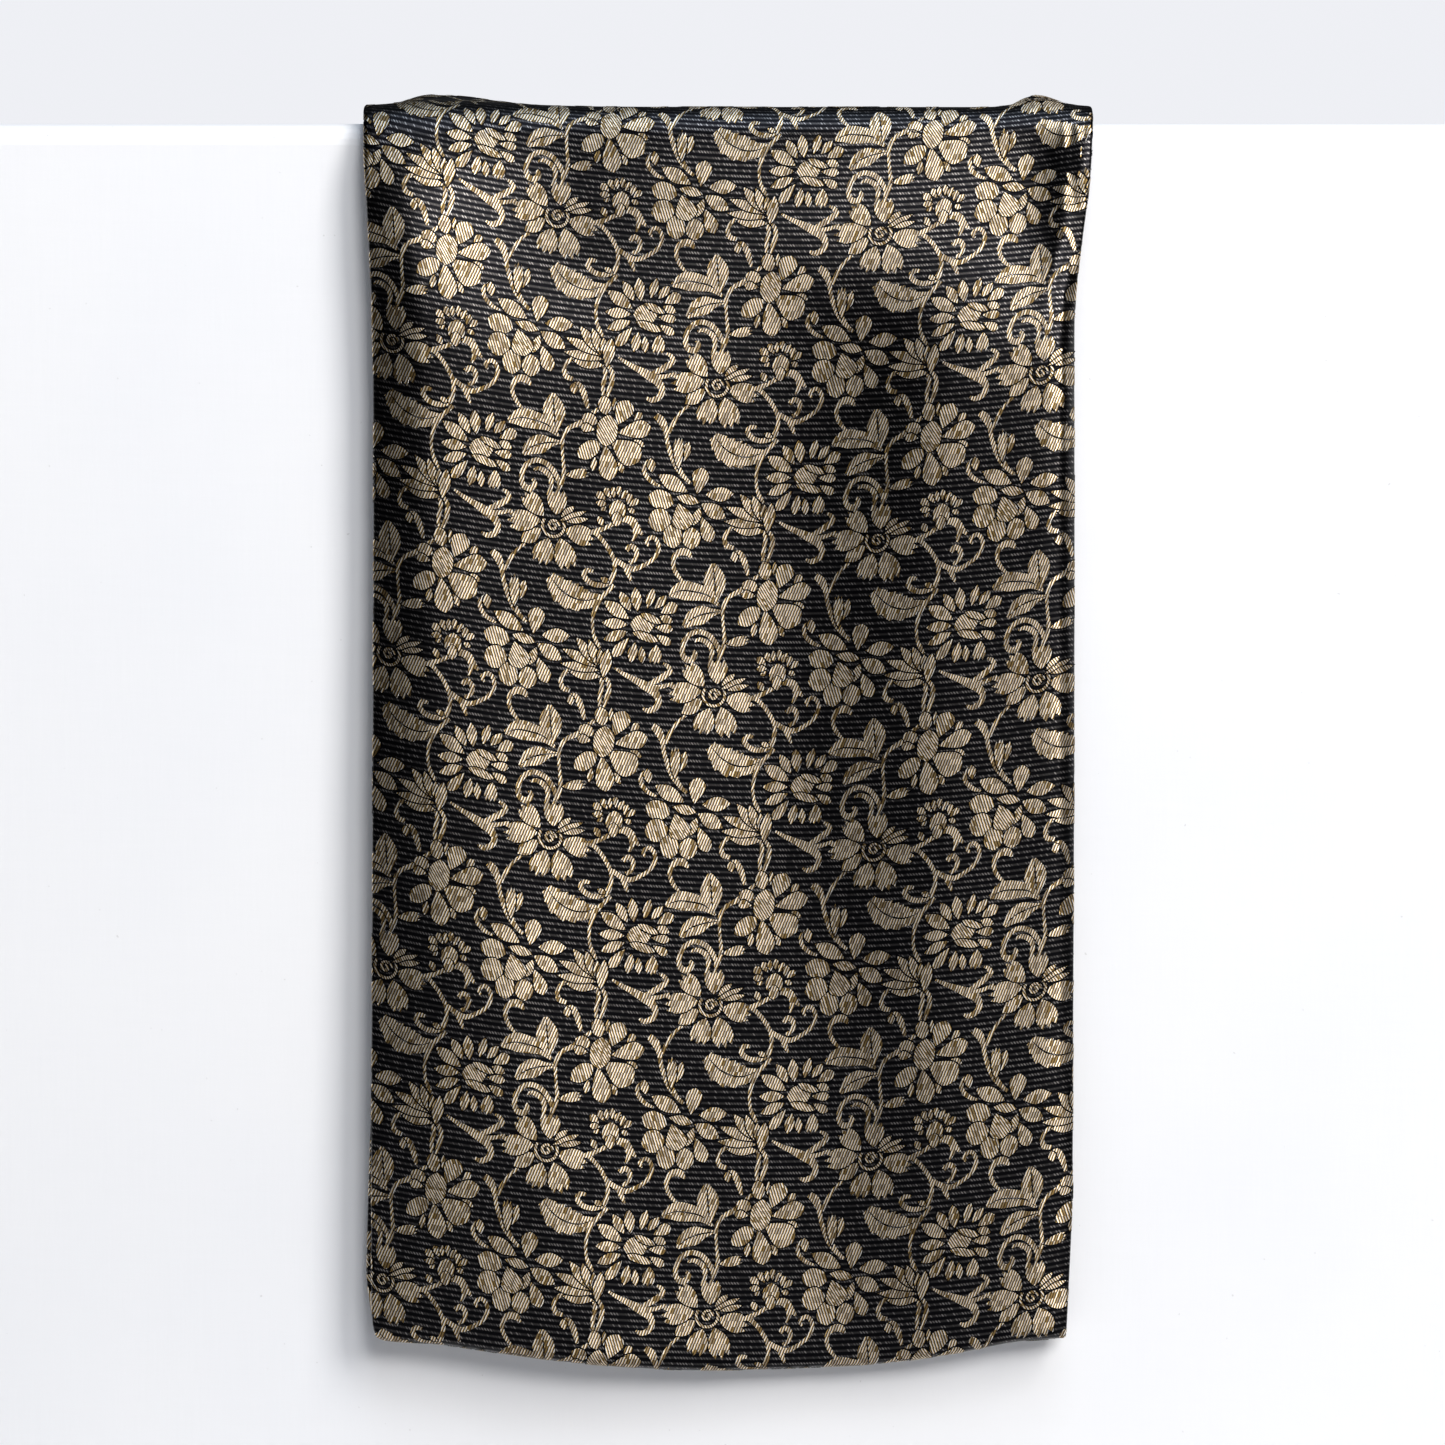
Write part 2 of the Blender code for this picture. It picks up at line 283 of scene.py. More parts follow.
# The black silk ground: its ribs and dull dashes, and the part of its pitch that a dash fills
GROUND_PITCH = 0.72 * MM
GROUND_LEAN = -0.68
GROUND_RIB = 1.45 * MM
GROUND_RIB_SHIFT = 0.5
DASH_START = (0.1, 0.3)
DASH_END = (0.75, 0.5)
DASH_CHANCE = (0.15, 1.0)
DASH_SHARE = 0.88
RIB_EDGE = (0.30, 0.05)
RIB_SHARE = 0.5
RIB_HEIGHT = 0.10 * MM
SILK_BLACK = (0.004, 0.004, 0.005, 1.0)
SILK_DASH = (0.268, 0.248, 0.238, 1.0)
GROUND_BUMP = 0.08

# Lustre of the gold and of the ground: metallic, roughness and anisotropy along the warps
GOLD_LUSTRE = (1.0, 0.41, 0.78)
GROUND_LUSTRE = (0.97, 0.29, 0.55)
ALONG_WARP = 0.25

# The board's paint and the floor: each noise's scale, detail and stretch, then their looks
EVEN = (1.0, 1.0, 1.0)
STROKES = (420.0, 3.0, (0.12, 1.0, 1.0))
UPRIGHT_STROKES = (520.0, 3.0, (1.0, 1.0, 0.10))
CLOUDS = (9.0, 3.0, EVEN)
SPECKS = (640.0, 1.0, EVEN)
PAPER_GRAIN = (60.0, 3.0, EVEN)
CLOUD_EDGE = (0.3, 0.7)
SPECK_EDGE = (0.775, 0.80)
SPECK_STRENGTH = 0.35
STROKE_HEIGHT = 0.10 * MM
STROKE_BUMP = 0.35
PAINT_WHITE = (0.88, 0.88, 0.89, 1.0)
PAINT_COOL = (0.85, 0.855, 0.875, 1.0)
PAINT_SPECK = (0.45, 0.44, 0.43, 1.0)
PAINT_ROUGHNESS = 0.62
FLOOR_LOW = (0.50, 0.50, 0.51, 1.0)
FLOOR_HIGH = (0.54, 0.54, 0.55, 1.0)
FLOOR_ROUGHNESS = 0.85

# The floor, the camera and the lights
FLOOR_REACH = 4.0
FRONT_PLANE = -23.15 * MM
CAMERA_DISTANCE = 1.2
SENSOR_WIDTH = 36.0
VIEW_WIDTH = 361.25 * MM
VIEW_MIDDLE_HEIGHT = 198.3 * MM
PANEL_MIDDLE_HEIGHT = 0.2
WORLD_COLOUR = (0.86, 0.91, 1.0, 1.0)
WORLD_STRENGTH = 0.045
BACKDROP_COLOUR = (0.86, 0.87, 0.91, 1.0)

# Lights: name, degrees right of the camera, degrees up, distance, width, height, watts, colour
LIGHTS = (
    ("key", 15, 24, 3.0, 0.8, 0.9, 27, (1.0, 0.985, 0.97)),
    ("right side", 42, 33, 3.2, 1.1, 2.2, 88, (1.0, 0.985, 0.97)),
    ("upper", 8, 60, 2.2, 0.8, 0.8, 10, (0.78, 0.87, 1.0)),
    ("top", 0, 85, 1.6, 0.8, 0.8, 4, (0.65, 0.80, 1.0)),
    ("back", 180, 0, 2.0, 1.2, 0.2, 16, (0.95, 0.97, 1.0)),
)

# Petals and leaves of each motif: right and down of its foot and tip, its width and its style
DAHLIA_PETALS = (
    (-12, -4, -40, -24, 14, "pointed"),
    (-11, -11, -24, -34, 11, "pointed"),
    (-5, -11, -8, -38, 12, "pointed"),
    (4, -14, 11, -37, 10, "pointed"),
    (11, -14, 24, -29, 10, "pointed"),
    (16, -10, 35, -19, 13, "fan"),
    (16, -8, 31, -1, 10, "pointed"),
    (10, 3, 31, 6, 10, "fan"),
    (12, 10, 29, 21, 10, "fan"),
    (14, 20, 12, 42, 14, "toothed"),
    (-1, 21, 0, 41, 9, "pointed"),
    (-7, 17, -12, 40, 11, "pointed"),
    (-12, 12, -30, 33, 12, "fan"),
    (-13, 7, -40, 16, 12, "pointed"),
    (-13, 1, -42, -2, 12, "pointed"),
)
SPIRAL_AT = (71, 73)
SPIRAL_PETALS = (
    (-10, -5, -46, -3, 22, "toothed"),
    (-8, -9, -29, -33, 19, "toothed"),
    (4, -11, 5, -39, 21, "toothed"),
    (11, 2, 43, 10, 21, "toothed"),
    (8, 10, 17, 43, 23, "toothed"),
    (-3, 11, -13, 39, 22, "toothed"),
    (-9, 2, -32, 18, 16, "pointed"),
)
SPIRAL_PRONGS = (
    (7, -9, 23, -23, 8, "pointed"),
    (4, -5, 36, -19, 7, "pointed"),
    (11, -5, 38, -11, 7, "pointed"),
)
ROSE_AT = (-37, 125)
ROSE_PETALS = (
    (-1, -23, -5, -43, 14, "round"),
    (9, -12, 21, -38, 20, "back fan"),
    (25, -15, 34, -26, 9, "fan"),
    (8, -5, 44, -11, 19, "fan"),
    (25, 1, 38, 9, 8, "pointed"),
    (2, 1, 33, 23, 26, "fan"),
    (9, 22, 17, 36, 8, "pointed"),
    (-3, 4, 3, 43, 20, "fan"),
    (-12, 17, -15, 34, 8, "pointed"),
    (-7, 4, -30, 19, 18, "back round"),
    (-10, -15, -26, -23, 13, "round"),
    (-11, -8, -27, -12, 10, "fan"),
    (6, -25, 7, -43, 6, "pointed"),
)
PEONY_AT = (40, 202)
PEONY_PETALS = (
    (13, -19, 18, -48, 18, "fan"),
    (5, -22, -27, -41, 16, "pointed"),
    (-10, -11, -36, -20, 20, "back round"),
    (-12, 3, -36, 7, 24, "back round"),
    (-12, 9, -10, 34, 20, "back round"),
    (8, 12, 8, 35, 19, "round"),
    (17, 0, 28, 28, 15, "fan"),
    (16, -12, 43, 4, 16, "pointed"),
    (20, -20, 51, -21, 16, "pointed"),
)
PALMETTE_AT = (-50, 35)
PALMETTE_LOBES = (
    (11, 18, -24, 12, 12, "pointed"),
    (11, 12, -34, 3, 10, "pointed"),
    (11, 9, -32, -12, 11, "pointed"),
    (6, 8, -17, -24, 11, "pointed"),
    (7, 10, -4, -22, 10, "pointed"),
    (9, 12, 8, -12, 9, "pointed"),
    (11, 21, 16, -12, 13, "pointed"),
)
CARNATION_AT = (-27, 195)
CARNATION_FLORETS = (
    (0, 14, 1, -9, 18, "round"),
    (0, 19, 0, 3, 11, "round"),
    (-9, -4, -22, -6, 8, "pointed"),
    (-10, -5, -20, -17, 9, "fan"),
    (-5, -8, -12, -21, 8, "fan"),
    (-3, -9, -4, -23, 7, "pointed"),
    (2, -9, 2, -23, 7, "fan"),
    (4, -8, 11, -19, 8, "pointed"),
    (10, -2, 14, -15, 8, "fan"),
    (11, -1, 22, -9, 8, "fan"),
    (10, 0, 19, 5, 7, "pointed"),
    (-10, -2, -17, 2, 7, "pointed"),
    (-13, 19, -19, 7, 8, "pointed"),
)
LOOSE_LEAVES = (
    (82, 21, 108, 16, 11, "toothed"),
    (34, 158, 34, 122, 11, "toothed"),
    (37, 151, 45, 127, 11, "pointed"),
    (8, 161, 6, 144, 10, "pointed"),
    (-70, 82, -72, 69, 9, "pointed"),
    (-33, 270, -43, 264, 7, "pointed"),
)

# Textured hearts of the flowers, in the same columns
HEARTS = (
    (-13, 1, 12, 1, 21, "round"),
    (-3, -11, 20, 0, 8, "round"),
    (-11, 8, 17, 18, 9, "round"),
    (-39, 134, -36, 101, 22, "round"),
    (34, 189, 42, 217, 23, "fan"),
    (30, 183, 57, 190, 11, "pointed"),
    (57, 193, 49, 214, 10, "pointed"),
)

# Leaves with a dark rib: points along the rib, then each side's width at them
RIBBED_LEAVES = (
    (
        ((-42, -28), (-55, -24), (-68, -26), (-81, -34), (-93, -48)),
        (2, 9, 13, 13, 6),
        (2, 12, 15, 14, 6),
        6,
    ),
    (((73, -22), (72, -36), (71, -48), (70, -60)), (2, 10, 10, 2), (2, 10, 10, 2), 0),
    (((76, -18), (65, -28), (50, -32), (38, -33), (26, -29)), (1, 6, 9, 9, 2), (1, 6, 9, 9, 2), 0),
    (((80, -12), (70, -11), (60, -9), (50, -5), (41, 3)), (1, 4, 9, 8, 2), (1, 4, 9, 8, 2), 0),
)

# Vines and scrolls: right, down and width at each point
VINES = (
    (
        (-29, -39, 4), (-36, -32, 4), (-43, -25, 5), (-48, -14, 4), (-50, -3, 3), (-49, 9, 3),
        (-46, 17, 4), (-42, 24, 2),
    ),
    (
        (118, -50, 3), (108, -42, 4), (98, -33, 5), (87, -27, 4), (81, -18, 4), (80, -7, 3),
        (81, 6, 3), (82, 18, 4), (80, 28, 4), (76, 37, 3),
    ),
    (
        (76, 36, 2), (77, 28, 4), (72, 18, 5), (65, 11, 5), (55, 8, 5), (46, 12, 5), (41, 20, 5),
        (40, 30, 5), (44, 36, 6), (50, 36, 6), (53, 31, 5), (51, 27, 3),
    ),
    ((66, 42, 2), (69, 34, 4), (69, 25, 5), (64, 19, 5), (57, 16, 4), (52, 18, 2)),
    ((-73, 72, 3), (-67, 71, 5), (-62, 78, 6), (-59, 87, 5), (-57, 95, 3)),
    ((-71, 45, 4), (-77, 48, 4), (-81, 55, 4), (-79, 63, 5), (-72, 66, 4)),
    ((-41, 51, 4), (-40, 62, 4), (-42, 72, 4), (-42, 82, 3)),
    ((-38, 51, 3), (-33, 60, 4), (-34, 71, 5), (-38, 83, 3)),
    (
        (-27, 44, 2), (-18, 50, 4), (-7, 56, 6), (5, 63, 9), (13, 69, 8), (17, 77, 6), (14, 84, 6),
        (6, 87, 5), (1, 84, 2),
    ),
    ((6, 61, 4), (16, 56, 6), (24, 51, 6), (28, 47, 5), (25, 42, 4), (21, 40, 2)),
    ((10, 64, 5), (20, 63, 4), (31, 60, 3)),
    (
        (11, 102, 6), (17, 108, 8), (21, 118, 5), (23, 130, 4), (27, 142, 5), (33, 154, 6),
        (40, 164, 4), (46, 170, 3),
    ),
    ((44, 92, 3), (36, 99, 3), (29, 109, 4), (24, 120, 3)),
    ((16, 173, 2), (8, 169, 4), (1, 161, 4), (0, 153, 4), (5, 147, 3)),
    (
        (40, 269, 2), (34, 262, 4), (30, 253, 4), (31, 244, 5), (37, 239, 7), (44, 240, 7),
        (48, 245, 2),
    ),
    (
        (-62, 220, 3), (-50, 219, 4), (-41, 227, 4), (-34, 237, 4), (-29, 248, 4), (-29, 259, 4),
        (-33, 268, 6), (-43, 272, 5), (-53, 269, 5), (-59, 262, 5), (-56, 257, 5), (-50, 258, 3),
    ),
    (
        (-28, 246, 4), (-20, 252, 5), (-10, 256, 5), (1, 252, 4), (10, 246, 4), (15, 237, 4),
        (14, 229, 4), (9, 224, 4), (3, 228, 4), (5, 233, 2),
    ),
    ((-17, 237, 5), (-12, 233, 5), (-7, 238, 5), (-8, 246, 4), (-14, 250, 4)),
    ((-18, 253, 5), (-15, 260, 5), (-12, 268, 2)),
    ((-28, 209, 5), (-37, 214, 4), (-48, 218, 5), (-60, 221, 3)),
    ((-29, 210, 4), (-20, 206, 6), (-12, 208, 8), (-6, 216, 6), (-1, 222, 2)),
    ((-10, 211, 5), (-8, 220, 5), (-11, 228, 2)),
)

# The spiral flower's eye: radius at the start and end, start angle, turns and width
EYE_COILS = (
    (11, 11, 215, -0.72, 5.5),
    (6, 1.5, 0, -1.3, 5.5),
)
EYE_AT = (72, 72)

# Each style's widest place along the petal and how full it is towards its foot and its tip
PETAL_STYLES = {
    "pointed": (0.52, 1.7, 2.0),
    "round": (0.50, 3.0, 3.2),
    "fan": (0.66, 1.5, 2.8),
    "toothed": (0.60, 2.2, 6.0),
}

# Toothed tips and leaves, and the steps and least sizes of the strips in the chart's squares
TEETH = 3
TEETH_DEPTH = 0.21
TEETH_START = 0.5
TEETH_COLUMNS = 6
TOOTHED_TIP = 0.44
LEAST_WIDTH = 0.4
RIM_WIDTH = 0.7
LEAST_STEPS = 2
LEAST_ROWS = 6
EXTRA_ROWS = 3
COIL_ROWS = 16
ROW_STEP = 3.2
COLUMN_STEP = 6.0
RIB_GAP = 1.6
TOOTH_DEPTH = 0.24
NO_EDGE = 9.0


def unit(vectors):
    """The vectors at length 1."""
    return vectors / np.linalg.norm(vectors, axis=-1, keepdims=True)


def cubic(t, start, end, start_slope, end_slope):
    """A cubic from start to end, with those slopes, at shares t."""
    return (
        (1 + 2 * t) * (1 - t) ** 2 * start
        + t * (1 - t) ** 2 * start_slope
        + t * t * (3 - 2 * t) * end
        + t * t * (t - 1) * end_slope
    )


def smooth_line(knots, step):
    """Points every so often along a smooth curve through the knots, with all their columns."""
    knots = np.array(knots, float)
    before = np.vstack((2 * knots[0] - knots[1], knots[:-1]))
    after = np.vstack((knots[1:], 2 * knots[-1] - knots[-2]))
    slopes = (after - before) / 2
    points = [knots[:1]]
    for first in range(len(knots) - 1):
        length = np.linalg.norm(knots[first + 1, :2] - knots[first, :2])
        count = max(LEAST_STEPS, math.ceil(length / step))
        t = (np.arange(count)[:, None] + 1) / count
        points.append(cubic(t, knots[first], knots[first + 1], slopes[first], slopes[first + 1]))
    return np.vstack(points)


def strip(middle, left, right, columns=0, teeth=0.0):
    """A strip of quads between two edges at those distances to each side of a middle line."""
    along = unit(np.gradient(middle, axis=0))
    aside = np.stack((along[:, 1], -along[:, 0]), axis=1)
    columns = columns or max(1, math.ceil((left + right).max() / COLUMN_STEP))
    share = np.arange(columns + 1) / columns
    offset = left[:, None] * (1 - share) - right[:, None] * share
    points = middle[:, None] + aside[:, None] * offset[..., None]
    if teeth:
        down = np.linspace(0, 1, len(middle))
        notch = np.abs((share * TEETH) % 1.0 - 0.5) * 2 + np.abs(share - 0.5)
        late = np.clip((down - TEETH_START) / (1 - TEETH_START), 0, 1)
        points = points - along[:, None] * (teeth * late[:, None] * notch)[..., None]
    edges = np.stack((left[:, None] - offset, right[:, None] + offset), axis=-1)
    first = (np.arange(len(middle) - 1)[:, None] * (columns + 1) + np.arange(columns)).reshape(-1)
    quads = np.stack((first, first + 1, first + columns + 2, first + columns + 1), axis=1)
    return points.reshape(-1, 2), quads, edges.reshape(-1, 2)


def petal(foot_x, foot_y, tip_x, tip_y, width, style):
    """A petal or leaf from its foot to its tip."""
    foot = np.array((foot_x, foot_y), float)
    tip = np.array((tip_x, tip_y), float)
    length = np.linalg.norm(tip - foot)
    belly, foot_power, tip_power = PETAL_STYLES[style.split()[-1]]
    rows = max(LEAST_ROWS, math.ceil(length / ROW_STEP) + EXTRA_ROWS)
    share = (1 - np.cos(np.pi * np.arange(rows + 1) / rows)) / 2
    rise = 1 - (1 - np.minimum(share / belly, 1.0)) ** foot_power
    fall = 1 - np.maximum((share - belly) / (1 - belly), 0.0) ** tip_power
    half = np.maximum((width / 2 + RIM_WIDTH) * rise * fall, LEAST_WIDTH)
    middle = foot + (tip - foot) * share[:, None]
    if "toothed" not in style:
        return strip(middle, half, half)
    half = np.where(share > belly, np.maximum(half, width * TOOTHED_TIP), half)
    return strip(middle, half, half, TEETH_COLUMNS, length * TEETH_DEPTH)


def without_edges(made):
    """The strip with no dark outline."""
    points, quads, edges = made
    return points, quads, edges + NO_EDGE


def vine(points):
    """A vine or scroll through its points, with its width at each."""
    line = smooth_line(points, ROW_STEP)
    half = np.maximum(line[:, 2] / 2, LEAST_WIDTH)
    return without_edges(strip(line[:, :2], half, half))


def ribbed_leaf(rib, left, right, teeth):
    """The two blades of a leaf beside its dark rib."""
    blades = []
    for widths, side in ((left, 1), (right, -1)):
        knots = [(x, y, width) for (x, y), width in zip(rib, widths)]
        line = smooth_line(knots, ROW_STEP / 2 if teeth else ROW_STEP)
        share = np.linspace(0, 1, len(line))
        gap = RIB_GAP / 2 * np.sin(np.pi * share) ** 0.5
        saw = 1 - TOOTH_DEPTH * ((share * teeth) % 1.0) if teeth else 1.0
        outer = np.maximum(line[:, 2] * saw, gap + LEAST_WIDTH)
        made = strip(line[:, :2], outer, -gap) if side > 0 else strip(line[:, :2], -gap, outer)
        blades.append(without_edges(made))
    return blades


def coil(start_radius, end_radius, start_angle, turns, width):
    """A coil round the spiral flower's eye."""
    count = max(LEAST_ROWS, math.ceil(abs(turns) * COIL_ROWS))
    share = np.linspace(0, 1, count + 1)
    angle = math.radians(start_angle) + 2 * math.pi * turns * share
    radius = start_radius + (end_radius - start_radius) * share
    x = EYE_AT[0] + radius * np.cos(angle)
    y = EYE_AT[1] + radius * np.sin(angle)
    half = np.full(count + 1, width / 2)
    return strip(np.stack((x, y), axis=1), half, half)


def repeat_shapes():
    """Every shape of one repeat: its points, quads, distances from its edges and kind."""
    shapes = [(*vine(points), "vine") for points in VINES]
    for row in RIBBED_LEAVES:
        shapes += [(*made, "petal") for made in ribbed_leaf(*row)]
    flowers = (
        ((0, 0), "petal", DAHLIA_PETALS),
        (SPIRAL_AT, "petal", SPIRAL_PETALS),
        (ROSE_AT, "petal", ROSE_PETALS),
        (PEONY_AT, "petal", PEONY_PETALS),
        (PALMETTE_AT, "petal", PALMETTE_LOBES),
        (CARNATION_AT, "petal", CARNATION_FLORETS),
        ((0, 0), "petal", LOOSE_LEAVES),
        (SPIRAL_AT, "heart", SPIRAL_PRONGS),
        ((0, 0), "heart", HEARTS),
    )
    for (x, y), kind, petals in flowers:
        for foot_x, foot_y, tip_x, tip_y, width, style in petals:
            made = petal(x + foot_x, y + foot_y, x + tip_x, y + tip_y, width, style)
            shapes.append((*made, "back" if "back" in style else kind))
    for row in EYE_COILS:
        shapes.append((*coil(*row), "heart"))
    return shapes


def ease(share):
    """A soft step from 0 to 1."""
    share = np.clip(share, 0.0, 1.0)
    return share * share * (3.0 - 2.0 * share)


def hump(place, middle, half_width):
    """A soft ridge of height 1."""
    return np.exp(-(((place - middle) / half_width) ** 2))


def along_table(place, table, column):
    """A smooth curve through one column of a table, by the place in its first column."""
    knots = np.array([row[0] for row in table])
    values = np.array([row[column] for row in table])
    secants = np.diff(values) / np.diff(knots)
    product = secants[:-1] * secants[1:]
    total = np.where(product > 0.0, secants[:-1] + secants[1:], 1.0)
    inner = np.where(product > 0.0, 2.0 * product / total, 0.0)
    slopes = np.concatenate((secants[:1], inner, secants[-1:]))
    place = np.clip(place, knots[0], knots[-1])
    row = np.clip(np.searchsorted(knots, place) - 1, 0, len(knots) - 2)
    span = knots[row + 1] - knots[row]
    t = (place - knots[row]) / span
    return cubic(t, values[row], values[row + 1], span * slopes[row], span * slopes[row + 1])


def edges_at(place):
    """Where the outer layer's left and right folded edges lie."""
    return along_table(place, OUTLINE, 1), along_table(place, OUTLINE, 2)


def width_at(place):
    """How wide the outer layer is."""
    left, right = edges_at(place)
    return right - left


def side_view(place, x):
    """Point and heading, in the side view, of the outer layer at a place along it."""
    rise = along_table(x, HEM_RISE, 1)
    travel = place + TOP_MIDDLE
    y = np.full_like(place, BOARD_DEPTH / 2 + OUTER_STAND_OFF)
    z = np.full_like(place, TOP_HEIGHT - SHOULDER_RADIUS - BACK_LENGTH)
    heading = np.full_like(place, START_HEADING)
    for name, length, turn, spacing in RUNS:
        share = np.clip(travel / length, 0.0, 1.0)
        real_length = length - rise if name == BOWED_RUN else length
        bend = turn * share
        chord = real_length * share * np.sinc(bend / (2 * math.pi))
        y = y + chord * np.cos(heading + bend / 2)
        z = z + chord * np.sin(heading + bend / 2)
        heading = heading + bend
        travel = travel - length
    return y, z, heading


def front_height(x, place):
    """The long soft folds of the hanging front, as one slope that bends across it."""
    down = np.clip(place / FRONT_END, 0.0, 1.0)
    lower = ease((place - FOLD_LEVEL) / FOLD_LEVEL_RISE)
    height = np.full_like(x, FRONT_RIDGE)
    for x_top, x_foot, softness, high, low in FRONT_BENDS:
        middle = x_top + (x_foot - x_top) * down**BEND_DRIFT
        change = high + (low - high) * lower
        height = height + change * softness * np.logaddexp(0.0, (x - middle) / softness)
    return height * ease((place - BENDS_FROM) / BENDS_RISE)


def back_height(x, drop):
    """The soft folds of the free back, at a distance down from the board's top."""
    down = np.clip(drop / TOP_MIDDLE, 0.0, 1.0)
    height = np.zeros_like(x)
    for x_top, x_foot, half_width, top, low in BACK_FOLDS:
        middle = x_top + (x_foot - x_top) * down
        height = height + (top + (low - top) * down) * hump(x, middle, half_width)
    return height * ease((drop - FOLD_ONSET) / FOLD_RISE)


def fine_height(x, place):
    """The pressed creases and the shallow unevenness of the real sheet."""
    height = np.zeros_like(x)
    for x_top, top, x_foot, foot, half_width, rise in CREASES:
        share = (place - top) / (foot - top)
        middle = x_top + (x_foot - x_top) * np.clip(share, 0.0, 1.0)
        shown = ease(share * CREASE_ONSET + 0.5) * ease((1.0 - share) * CREASE_FADE)
        height = height + rise * hump(x, middle, half_width) * shown
    calm = ease((np.abs(place) - ROLL_ONSET) / FOLD_RISE)
    for across, along, phase, rise in RIPPLES:
        wave = np.sin(2 * math.pi * (across * x + along * place) + phase)
        height = height + rise * wave * calm
    return height


def relief(x, place, left, right):
    """How far the outer layer stands out from its plain side view."""
    mirrored = np.where(place > FRONT_END, np.maximum(2 * FRONT_END - place, 0.0), place)
    front = front_height(x, mirrored)
    back = back_height(x, -place)
    most = np.where(place > 0.0, along_table(mirrored, EDGE_ROLL, 3), BACK_ROLL_DEPTH)
    depth = most * ease((np.abs(mirrored) - ROLL_ONSET) / FOLD_RISE)
    roll_left = along_table(mirrored, EDGE_ROLL, 1)
    roll_right = along_table(mirrored, EDGE_ROLL, 2)
    beyond_left = np.clip((left + roll_left - x) / roll_left, 0.0, ROLL_LIMIT)
    beyond_right = np.clip((x - right + roll_right) / roll_right, 0.0, ROLL_LIMIT)
    height = front + back - depth * (beyond_left**2 + beyond_right**2)
    for middle, to_left, to_right, top in CORNER_PUFFS:
        half_width = np.where(x < middle, to_left, to_right)
        puff = top * hump(x, middle, half_width)
        height = height + puff * hump(place, PUFF_PLACE, PUFF_HALF_LENGTH)
    height = height + fine_height(x, mirrored)
    behind = ease((place - FRONT_END) / (TURN_UP_START - FRONT_END))
    return height * (1.0 - (1.0 - TURN_UP_SHARE) * behind)


def outer_layer(across, place):
    """Points of the outer layer, across from -1 to 1 and along the sheet by place."""
    left, right = edges_at(place)
    x = left + (right - left) * (across + 1.0) / 2.0
    y, z, heading = side_view(place, x)
    outward = np.minimum(heading, FRONT_HEADING) - math.pi / 2
    height = relief(x, place, left, right)
    return np.stack((x, y + height * np.cos(outward), z + height * np.sin(outward)), axis=-1)


def outer_frame(across, place):
    """Points of the outer layer with its outward normal and its direction across."""
    right = outer_layer(across + DIFFERENCE_ACROSS, place)
    left = outer_layer(across - DIFFERENCE_ACROSS, place)
    after = outer_layer(across, place + DIFFERENCE_ALONG)
    before = outer_layer(across, place - DIFFERENCE_ALONG)
    sideways = unit(right - left)
    normal = unit(np.cross(after - before, sideways))
    return outer_layer(across, place), normal, sideways


def folded_points(x, place, lift):
    """Points of the folded sheet at an unfolded x and a place, lifted from its middle."""
    left, right = edges_at(place)
    width = right - left
    half = LAYER_PITCH / 2
    side = np.where(x < (left + right) / 2, -1.0, 1.0)
    beyond = np.maximum(np.maximum(left - x, x - right), 0.0)
    angle = np.minimum(beyond / half, math.pi)
    inward = np.maximum(beyond - math.pi * half, 0.0)
    across = np.clip(2 * (x - left) / width - 1, -1.0, 1.0) - side * 2 * inward / width
    point, normal, sideways = outer_frame(across, place)
    swing = np.cos(angle)[..., None] * normal
    swing = swing + (np.sin(angle) * side)[..., None] * sideways
    return point - half * normal + (half + lift)[..., None] * swing


def weft_bow(x):
    """How far a weft thread rises, at x, above its lowest point."""
    return WEFT_BOW * (x - WEFT_LOW_X) ** 2


def woven_place(x, place):
    """The place along the straightened cloth that lies at x and a place on the hung one."""
    rise = along_table(x, HEM_RISE, 1)
    seen = place - rise * np.clip((place - FRONT_START) / FRONT_LENGTH, 0.0, 1.0)
    tilt = WEFT_TILT * (x - CHART_X)
    return (seen + weft_bow(x) - tilt * CHART_TOP) / (1 - tilt)


def hung_place(x, woven):
    """The place where the hung cloth has, at x, a place of the straightened one."""
    tilt = WEFT_TILT * (x - CHART_X)
    seen = woven * (1 - tilt) + tilt * CHART_TOP - weft_bow(x)
    rise = along_table(x, HEM_RISE, 1)
    down = np.clip((seen - FRONT_START) / (FRONT_LENGTH - rise), 0.0, 1.0)
    return seen + rise * down


def run_places():
    """The places along the sheet where it has a row of points."""
    start = -TOP_MIDDLE
    places = [start]
    for name, length, turn, spacing in RUNS:
        steps = math.ceil(length / spacing)
        places += [start + length * (step + 1) / steps for step in range(steps)]
        start += length
    return np.array(places)


def mesh_object(name, points, faces, maps, materials, kinds=None):
    """A smooth mesh with named UV maps, each with a pair of numbers for every point."""
    mesh = bpy.data.meshes.new(name)
    mesh.from_pydata(points.tolist(), [], faces)
    for material in materials:
        mesh.materials.append(material)
    if kinds is not None:
        mesh.polygons.foreach_set("material_index", np.array(kinds, np.int32))
    mesh.shade_smooth()
    corners = np.zeros(len(mesh.loops), np.int32)
    mesh.loops.foreach_get("vertex_index", corners)
    for map_name, pairs in maps.items():
        uv = mesh.uv_layers.new(name=map_name)
        uv.data.foreach_set("uv", pairs[corners].astype(np.float32).reshape(-1))
    made = bpy.data.objects.new(name, mesh)
    bpy.context.scene.collection.objects.link(made)
    return made


def apply_modifiers(made):
    """The object with its modifiers worked into its mesh."""
    graph = bpy.context.evaluated_depsgraph_get()
    mesh = bpy.data.meshes.new_from_object(made.evaluated_get(graph))
    old = made.data
    made.modifiers.clear()
    made.data = mesh
    mesh.name = made.name
    bpy.data.meshes.remove(old)
    return made


